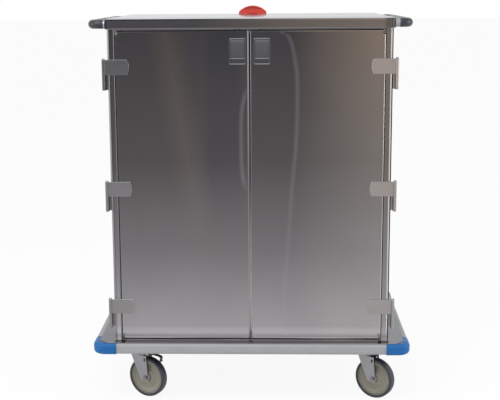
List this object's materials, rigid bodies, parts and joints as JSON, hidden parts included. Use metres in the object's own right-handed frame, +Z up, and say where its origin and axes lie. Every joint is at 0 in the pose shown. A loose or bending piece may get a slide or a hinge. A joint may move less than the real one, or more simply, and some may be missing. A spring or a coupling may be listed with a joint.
{
  "type": "case cart",
  "caption": "Closed stainless case cart: two-door cabinet with shelves on a bumpered deck, push handles, slam latches, a flip-up status sign and braked swivel casters.",
  "frame": {"origin": "on the floor under the middle of the outline, with the wheels' treads at z = 0", "axes": "+X to the right as one faces the doors, +Y from the doors to the back, +Z up"},
  "size_m": [1.23, 0.8, 1.5252],
  "materials": {
    "door_steel": "brushed, satin",
    "panel_steel": "brushed, satin",
    "roof_steel": "fine brushed",
    "deck_steel": "brushed, satin",
    "frame_steel": "plain",
    "hinge_steel": "brushed",
    "latch_steel": "satin",
    "handle_steel": "satin",
    "plated_steel": "zinc plated",
    "fasteners": "plain",
    "grey_bumper": "smooth vinyl",
    "blue_bumper": "smooth moulded",
    "grip_vinyl": "fine textured",
    "white_pad": "moulded",
    "wheel_core": "moulded",
    "wheel_tread": "smooth, matte",
    "black_pedal": "semi-gloss",
    "sign_red": "smooth"
  },
  "bodies": {
    "root": {"caster_plates": "plated_steel", "caster_bolts": "fasteners", "base_frame": "frame_steel", "base_deck": "deck_steel", "bumper_rail_front": "grey_bumper", "bumper_rail_rear": "grey_bumper", "bumper_rail_left": "grey_bumper", "bumper_rail_right": "grey_bumper", "corner_bumpers": "blue_bumper", "left_side_panel": "panel_steel", "right_side_panel": "panel_steel", "back_panel": "panel_steel", "roof_cap": "roof_steel", "left_front_stile": "panel_steel", "right_front_stile": "panel_steel", "header": "panel_steel", "sill": "panel_steel", "corner_pads": "white_pad", "shelf_standards": "panel_steel", "shelf_clips": "fasteners", "shelf_lower": "panel_steel", "shelf_upper": "panel_steel", "left_handle_tube": "handle_steel", "right_handle_tube": "handle_steel", "left_handle_grip": "grip_vinyl", "right_handle_grip": "grip_vinyl", "hinge_brackets": "hinge_steel", "hinge_pins": "fasteners", "sign_bracket": "fasteners"},
    "status_sign": {"status_sign": "sign_red"},
    "left_door": {"left_door_skin": "door_steel", "left_door_liner": "panel_steel", "left_hinge_leaves": "hinge_steel", "left_latch_housing": "latch_steel"},
    "left_paddle": {"left_latch_paddle": "latch_steel"},
    "left_bolt": {"left_latch_bolt": "fasteners"},
    "right_door": {"right_door_skin": "door_steel", "right_door_liner": "panel_steel", "right_hinge_leaves": "hinge_steel", "right_latch_housing": "latch_steel"},
    "right_paddle": {"right_latch_paddle": "latch_steel"},
    "right_bolt": {"right_latch_bolt": "fasteners"},
    "fl_swivel": {"fl_yoke": "plated_steel", "fl_axle": "fasteners"},
    "fl_wheel": {"fl_wheel_core": "wheel_core", "fl_wheel_tread": "wheel_tread"},
    "fr_swivel": {"fr_yoke": "plated_steel", "fr_axle": "fasteners"},
    "fr_wheel": {"fr_wheel_core": "wheel_core", "fr_wheel_tread": "wheel_tread"},
    "rl_swivel": {"rl_yoke": "plated_steel", "rl_axle": "fasteners"},
    "rl_wheel": {"rl_wheel_core": "wheel_core", "rl_wheel_tread": "wheel_tread"},
    "rr_swivel": {"rr_yoke": "plated_steel", "rr_axle": "fasteners"},
    "rr_wheel": {"rr_wheel_core": "wheel_core", "rr_wheel_tread": "wheel_tread"},
    "fl_pedal": {"fl_brake_pedal": "black_pedal"},
    "rr_pedal": {"rr_brake_pedal": "black_pedal"}
  },
  "joints": [
    {"name": "sign_flip", "type": "hinge", "parent": "root", "child": "status_sign", "pos_m": [0, 0.308, 1.49575], "axis": [-1, 0, 0], "range_deg": [0, 90]},
    {"name": "left_door_swing", "type": "hinge", "parent": "root", "child": "left_door", "pos_m": [-0.548, -0.34, 0.85], "axis": [0, 0, 1], "range_deg": [-267, 0]},
    {"name": "left_paddle_pull", "type": "hinge", "parent": "left_door", "child": "left_paddle", "pos_m": [-0.046, -0.331, 1.4065], "axis": [-1, 0, 0], "range_deg": [0, 35], "stiffness_Nm_per_rad": 0.3, "springref_deg": -17.19},
    {"name": "left_bolt_slide", "type": "slide", "parent": "left_door", "child": "left_bolt", "axis": [0, 0, -1], "range_m": [0, 0.008]},
    {"name": "right_door_swing", "type": "hinge", "parent": "root", "child": "right_door", "pos_m": [0.548, -0.34, 0.85], "axis": [0, 0, 1], "range_deg": [0, 267]},
    {"name": "right_paddle_pull", "type": "hinge", "parent": "right_door", "child": "right_paddle", "pos_m": [0.046, -0.331, 1.4065], "axis": [-1, 0, 0], "range_deg": [0, 35], "stiffness_Nm_per_rad": 0.3, "springref_deg": -17.19},
    {"name": "right_bolt_slide", "type": "slide", "parent": "right_door", "child": "right_bolt", "axis": [0, 0, -1], "range_m": [0, 0.008]},
    {"name": "fl_swivel", "type": "hinge", "parent": "root", "child": "fl_swivel", "pos_m": [-0.451, -0.278, 0.18], "axis": [0, 0, 1], "continuous": true},
    {"name": "fl_roll", "type": "hinge", "parent": "fl_swivel", "child": "fl_wheel", "pos_m": [-0.41145, -0.29729, 0.08], "axis": [0.4384, 0.8988, 0], "continuous": true},
    {"name": "fl_brake_press", "type": "hinge", "parent": "fl_swivel", "child": "fl_pedal", "pos_m": [-0.40606, -0.29992, 0.17605], "axis": [0.4384, 0.8988, 0], "range_deg": [0, 8]},
    {"name": "fr_swivel", "type": "hinge", "parent": "root", "child": "fr_swivel", "pos_m": [0.451, -0.278, 0.18], "axis": [0, 0, 1], "continuous": true},
    {"name": "fr_roll", "type": "hinge", "parent": "fr_swivel", "child": "fr_wheel", "pos_m": [0.4879, -0.30196, 0.08], "axis": [0.5446, 0.8387, 0], "continuous": true},
    {"name": "rl_swivel", "type": "hinge", "parent": "root", "child": "rl_swivel", "pos_m": [-0.451, 0.278, 0.18], "axis": [0, 0, 1], "continuous": true},
    {"name": "rl_roll", "type": "hinge", "parent": "rl_swivel", "child": "rl_wheel", "pos_m": [-0.4108, 0.2601, 0.08], "axis": [0.4067, 0.9135, 0], "continuous": true},
    {"name": "rr_swivel", "type": "hinge", "parent": "root", "child": "rr_swivel", "pos_m": [0.451, 0.278, 0.18], "axis": [0, 0, 1], "continuous": true},
    {"name": "rr_roll", "type": "hinge", "parent": "rr_swivel", "child": "rr_wheel", "pos_m": [0.48704, 0.25276, 0.08], "axis": [0.5736, 0.8192, 0], "continuous": true},
    {"name": "rr_brake_press", "type": "hinge", "parent": "rr_swivel", "child": "rr_pedal", "pos_m": [0.49196, 0.24932, 0.17605], "axis": [0.5736, 0.8192, 0], "range_deg": [0, 8]}
  ],
  "couplings": [
    {"joint": "left_bolt_slide", "follows": "left_paddle_pull", "m_per_rad": 0.013},
    {"joint": "right_bolt_slide", "follows": "right_paddle_pull", "m_per_rad": 0.013}
  ]
}
